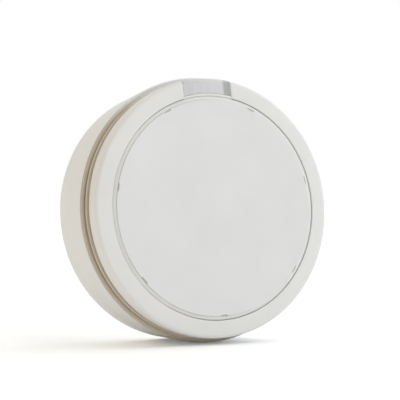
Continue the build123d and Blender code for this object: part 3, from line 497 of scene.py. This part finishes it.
window = {
    "skinInner": 50.4, "outerR": 57.0, "innerHeight": 41.1, "edgeHeight": 40.5, "skin": 1.2,
    "half": 11.62, "edge": 0.15, "edgeRound": 0.8, "round": 0.2, "insideRound": 0.4, "lowRound": 0.05,
    "plateInner": 41.75, "plateTop": 33.9, "plateThick": 1.5, "plateHalf": 15.0, "plateRound": 0.35,
    "legThick": 3.5, "legRear": 30.2,
}
w = window
skinR = w["outerR"] - w["skin"]
skin = roundedOutline([
    (w["skinInner"], w["innerHeight"], w["round"]), (w["outerR"], w["edgeHeight"], w["edgeRound"]),
    (w["outerR"], w["plateTop"], w["round"]), (skinR, w["plateTop"], w["lowRound"]),
    (skinR, w["edgeHeight"] - w["skin"], w["insideRound"]),
    (w["skinInner"], w["innerHeight"] - w["skin"], w["round"])], 8)
addPiece("windowSkin", [straightEnded(lambda k: skin, w["half"], w["edge"], -1)], "head",
         ownLooks["windowSkin"], ["indicator_window"])
legR, plateLow = w["plateInner"] + w["legThick"], w["plateTop"] - w["plateThick"]
guide = roundedOutline([
    (w["plateInner"], w["plateTop"], w["round"]), (w["outerR"], w["plateTop"], w["plateRound"]),
    (w["outerR"], plateLow, w["round"]), (legR, plateLow, w["round"]),
    (legR, w["legRear"], w["round"]), (w["plateInner"], w["legRear"], w["round"])], 3)
addPiece("windowPlate", [lathe(guide, np.linspace(90 - w["plateHalf"], 90 + w["plateHalf"], 60), wholeTurn=False)],
         "head", looks["frosted_plastic"], ["indicator_window"])
print("window made")


# Test button: bevelled cap and the raised face disc with its small notches

button = {
    "outerR": 49.08, "top": 42.0, "bevelDrop": 1.15, "skirtRear": 38.1, "skirt": 1.4, "webRear": 39.6,
    "bevelRound": 0.04, "rimRound": 0.2, "skirtRound": 0.15, "webRound": 0.3, "seatRound": 0.05,
    "studR": 1.6, "studLow": 38.4, "studCircle": 44.4, "studRound": 0.3, "studSink": 0.6,
    "rodR": 2.0, "rodLow": 33.3, "rodPlace": -34.0, "studAngles": (60, 180, 300),
    "hookR": 42.6, "hookThick": 1.2, "hookWidth": 4.0, "hookLow": 34.4, "hookAngles": (0, 120, 240),
    "barb": 0.9, "barbHigh": 35.3, "barbLap": 0.1,
}
face = {
    "outerR": 47.55, "proud": 0.35, "seam": 0.07, "rear": 41.0, "edge": 0.12, "rearRound": 0.1, "band": 1.4,
    "steps": 1440, "notches": 7, "notchFirst": 270.0,
    "notchLength": 3.6, "notchDepth": 0.6, "notchSlope": 0.2, "notchReach": 0.5,
}
b, d = button, face
seatR, skirtIn = d["outerR"] + d["seam"], b["outerR"] - b["skirt"]
capOutline = roundedOutline([
    (0, b["webRear"], 0), (0, d["rear"], 0), (seatR, d["rear"], b["seatRound"]),
    (seatR, b["top"] - d["proud"], b["bevelRound"]), (b["outerR"], b["top"] - b["bevelDrop"], b["rimRound"]),
    (b["outerR"], b["skirtRear"], b["skirtRound"]), (skirtIn, b["skirtRear"], b["skirtRound"]),
    (skirtIn, b["webRear"], b["webRound"])], 5)
capShapes = [lathe(capOutline, np.arange(0, 360, 0.75))]
webIn = b["webRear"] + b["studSink"]
studs = [((0, b["rodPlace"]), b["rodR"], b["rodLow"])]
studs += [(onCircle(b["studCircle"], angle), b["studR"], b["studLow"]) for angle in b["studAngles"]]
for place, radius, low in studs:
    stud = roundedOutline([(0, low, 0), (radius, low, b["studRound"]), (radius, webIn, 0), (0, webIn, 0)], 3)
    capShapes.append(lathe(stud, np.arange(0, 360, 12), centre=place))
hookIn, hookOut = b["hookR"] - b["hookThick"] / 2, b["hookR"] + b["hookThick"] / 2
capShapes.append(radialBars(b["hookAngles"], hookIn, hookOut, b["hookWidth"], b["hookLow"], webIn))
capShapes.append(radialBars(b["hookAngles"], hookOut - b["barbLap"], hookOut + b["barb"], b["hookWidth"],
                            b["hookLow"] + b["barbLap"], b["barbHigh"]))
addPiece("buttonRim", capShapes, "test_button", looks["white_plastic"], ["button_cap"])

discAngles = np.linspace(0, 360, d["steps"], endpoint=False)
pitch = 360 / d["notches"]
offCentre = np.abs((discAngles - d["notchFirst"] + pitch / 2) % pitch - pitch / 2) * pi / 180 * d["outerR"]
# full depth inside a notch, sloping to nothing at its two ends
cut = d["notchDepth"] * np.clip((d["notchLength"] / 2 - offCentre) / d["notchSlope"], 0, 1)
discOutline = roundedOutline([
    (0, d["rear"], 0), (d["outerR"], d["rear"], d["rearRound"]), (d["outerR"], b["top"], d["edge"]),
    (d["outerR"] - d["band"], b["top"], 0), (0, b["top"], 0)], 5)
discRows = np.repeat(discOutline[None], len(discAngles), 0)
discRows[..., 0] -= cut[:, None] * (discRows[..., 0] > d["outerR"] - d["notchReach"])
addPiece("facePlate", [lathe(discRows, discAngles)], "test_button", ownLooks["face"], ["face_disc"])
print("button made")


# Inlet grille: foot ring, thin rib, top ring and the spacer vanes

grille = {
    "innerR": 52.2, "outerR": 54.9, "round": 0.1, "edgeRound": 0.2,
    "footInner": 50.9, "footLow": 26.2, "footThick": 1.2, "stepR": 57.3, "stepHigh": 29.0,
    "ribR": 57.6, "ribLow": 31.3, "ribThick": 0.9, "ribRound": 0.4,
    "topHigh": 38.6, "topThick": 1.2, "gapHalf": 16.5, "vanes": 40, "vaneThick": 0.9, "vaneInset": 0.1,
}
g = grille
footHigh, ribHigh, topLow = g["footLow"] + g["footThick"], g["ribLow"] + g["ribThick"], g["topHigh"] - g["topThick"]
# the foot's outer step fills the housing's rim lip and ends level with the rim
foot = roundedOutline([
    (g["footInner"], g["footLow"], g["round"]), (g["stepR"], g["footLow"], g["round"]),
    (g["stepR"], g["stepHigh"], g["edgeRound"]), (g["outerR"], g["stepHigh"], g["edgeRound"]),
    (g["outerR"], footHigh, g["round"]), (g["footInner"], footHigh, g["edgeRound"])], 2)
rib = roundedOutline([(g["innerR"], g["ribLow"], g["round"]), (g["ribR"], g["ribLow"], g["ribRound"]),
                      (g["ribR"], ribHigh, g["ribRound"]), (g["innerR"], ribHigh, g["round"])], 4)
topRing = roundedOutline([(g["innerR"], topLow, g["round"]), (g["outerR"], topLow, g["round"]),
                          (g["outerR"], g["topHigh"], g["edgeRound"]), (g["innerR"], g["topHigh"], g["edgeRound"])], 2)
# the top ring and the tall vanes leave a gap for the window's leg
topAngles = np.linspace(90 + g["gapHalf"], 450 - g["gapHalf"], 330)
wholeCircle = np.arange(0, 360, 1.0)
vaneAngles = (np.arange(g["vanes"]) + 0.5) * 360 / g["vanes"]
inGap = np.abs((vaneAngles - 90 + 180) % 360 - 180) < g["gapHalf"]
vaneHigh = np.where(inGap, (g["ribLow"] + ribHigh) / 2, (topLow + g["topHigh"]) / 2)
vanes = radialBars(vaneAngles, g["innerR"] + g["vaneInset"], g["outerR"] - g["vaneInset"], g["vaneThick"],
                   (g["footLow"] + footHigh) / 2, vaneHigh)
addPiece("inletGrille", [lathe(foot, wholeCircle), lathe(rib, wholeCircle), lathe(topRing, topAngles, wholeTurn=False),
                         vanes], "head", looks["shaded_plastic"], ["inlet_grille"])
print("grille made")


# Camera, fitted to the edges in the photograph

shot = {
    "yaw": 27.2, "pitch": -4.775, "roll": 4.5,            # the roll turns the part about its own axis
    "distance": 627.6, "right": 6.73, "down": 3.31,       # of the ring's middle from the camera
    "lens": 129.1, "sensor": 36.0, "ringHeight": 40.8,
}


def photoAxes():
    # Rows are the photograph's right, down and forward directions in the part's frame: yaw about Z,
    # then pitch, and last the part's own roll about its axis.
    yaw, pitch, roll = (radians(shot[k]) for k in ("yaw", "pitch", "roll"))
    turn = np.array([[cos(yaw), -sin(yaw), 0], [sin(yaw), cos(yaw), 0], [0, 0, 1]])
    swap = np.array([[1, 0, 0], [0, 0, -1], [0, 1, 0]])
    tip = np.array([[1, 0, 0], [0, cos(pitch), -sin(pitch)], [0, sin(pitch), cos(pitch)]])
    lean = np.array([[cos(roll), 0, -sin(roll)], [0, 1, 0], [sin(roll), 0, cos(roll)]])
    return tip @ swap @ turn @ lean


right, down, forward = photoAxes()
ringMiddle = np.array([0, -shot["ringHeight"], 0])
eye = ringMiddle - right * shot["right"] - down * shot["down"] - forward * shot["distance"]
camera = bpy.data.objects.new("camera", bpy.data.cameras.new("camera"))
camera.data.lens = shot["lens"]
camera.data.sensor_width = shot["sensor"]
camera.data.clip_end = 50
bpy.context.scene.collection.objects.link(camera)
pose = np.eye(4)
pose[:3, 0], pose[:3, 1], pose[:3, 2], pose[:3, 3] = right, -down, -forward, eye * mm
camera.matrix_world = Matrix(pose.tolist())
bpy.context.scene.camera = camera


# Floor: a plane that the tapered drum lies on, square to the photograph's down direction

floorLook = {
    "size": 14.0, "tone": 0.975, "toneChange": 0.015, "dust": 40.0, "glow": 0.16,      # the size is in metres
    "rimR": 59.0, "rimHeight": 29.5, "backR": 57.0, "backHeight": 0.6, "clear": 0.1,
}
f = floorLook
edges = ((f["rimR"], f["rimHeight"]), (f["backR"], f["backHeight"]))
lowest = np.array([[radius * down[0], -height, radius * down[2]] for radius, height in edges])
lowest[:, [0, 2]] /= np.hypot(down[0], down[2])
drop = (lowest @ down).max() + f["clear"]
centre = down * drop * mm
corner = np.array([[-1, -1], [1, -1], [1, 1], [-1, 1]]) * f["size"]
floorPoints = centre + corner[:, :1] * right + corner[:, 1:] * forward
floorMesh = bpy.data.meshes.new("floor")
floorMesh.from_pydata(floorPoints.tolist(), [], [[0, 1, 2, 3]])
floor = bpy.data.objects.new("floor", floorMesh)
bpy.context.scene.collection.objects.link(floor)
floorMaterial, tree, surface = startMaterial("paleFloor", Roughness=0.8, Specular_IOR_Level=0.15)
dust = addNode(tree, "ShaderNodeTexNoise", {"Vector": objectPlace(tree)}, Scale=f["dust"], Detail=3.0)
floorTone = twoTone(tree, spread(tree, dust.outputs["Fac"], 0, 1), (f["tone"],) * 3, (f["tone"] + f["toneChange"],) * 3)
tree.links.new(floorTone, surface.inputs["Base Color"])
# the camera alone sees the floor a little whiter
glowStrength = scaled(tree, backdropRays(tree, ("Is Camera Ray",)), f["glow"])
glow = addNode(tree, "ShaderNodeEmission", {"Strength": glowStrength})
both = addNode(tree, "ShaderNodeAddShader", {0: surface.outputs[0], 1: glow.outputs[0]})
tree.links.new(both.outputs[0], tree.nodes["Material Output"].inputs["Surface"])
floorMesh.materials.append(floorMaterial)


# Light: one wide soft lamp from the upper right, and broad soft lights in the surroundings.
# Directions are right, up and towards the camera in the photograph.

lamp = {"place": (0.81, 0.58, 0.05), "colour": (0.92, 0.96, 1.0), "power": 1.9, "spread": 90.0}
# "from" is where a broad light starts across its direction, so a large negative value is nearly even all round
broadLights = {
    "around": {"place": (0, 1, 0), "from": -1000.0, "colour": (0.99, 0.98, 1.0), "power": 0.26},
    "front": {"place": (-0.3, -0.2, 1.0), "from": 0.4, "colour": (0.97, 0.95, 0.91), "power": 0.42},
    "back": {"place": (0, 0, -1), "from": 0.0, "colour": (0.9, 0.93, 1.0), "power": 1.0},
    "left": {"place": (-1, 0, 0), "from": 0.0, "colour": (1.0, 0.8, 0.48), "power": 0.37},
    "upperLeft": {"place": (-1, 1, 0), "from": 0.0, "colour": (1.0, 0.91, 0.5), "power": 0.13},
}


def photoDirection(place):
    along = right * place[0] - down * place[1] - forward * place[2]
    return Vector(along / np.linalg.norm(along))


softLamp = bpy.data.objects.new("right", bpy.data.lights.new("right", "SUN"))
softLamp.data.energy = lamp["power"]
softLamp.data.color = lamp["colour"]
softLamp.data.angle = radians(lamp["spread"])
softLamp.rotation_euler = photoDirection(lamp["place"]).to_track_quat("Z", "Y").to_euler()
bpy.context.scene.collection.objects.link(softLamp)

world = bpy.data.worlds.new("surroundings")
bpy.context.scene.world = world
world.use_nodes = True
tree = world.node_tree
tree.nodes["Background"].inputs["Strength"].default_value = 0.0
total = tree.nodes["Background"].outputs[0]
direction = addNode(tree, "ShaderNodeTexCoord").outputs["Generated"]
for light in broadLights.values():
    # brightness rises from nothing at the edge of the lit part to the full power straight ahead
    facing = addNode(tree, "ShaderNodeVectorMath", {0: direction})
    facing.operation = "DOT_PRODUCT"
    facing.inputs[1].default_value = photoDirection(light["place"])
    strength = spread(tree, facing.outputs["Value"], 0, light["power"], light["from"], 1)
    patch = addNode(tree, "ShaderNodeBackground", {"Strength": strength}, Color=(*light["colour"], 1))
    total = addNode(tree, "ShaderNodeAddShader", {0: total, 1: patch.outputs[0]}).outputs[0]
white = addNode(tree, "ShaderNodeBackground", Color=(1, 1, 1, 1), Strength=1.0)
seesWhite = backdropRays(tree, ("Is Camera Ray", "Is Glossy Ray", "Is Transmission Ray"))
choose = addNode(tree, "ShaderNodeMixShader", {0: seesWhite, 1: total, 2: white.outputs[0]})
tree.links.new(choose.outputs[0], tree.nodes["World Output"].inputs["Surface"])
bpy.context.scene.view_settings.view_transform = "Standard"
print("camera, floor and light ready")
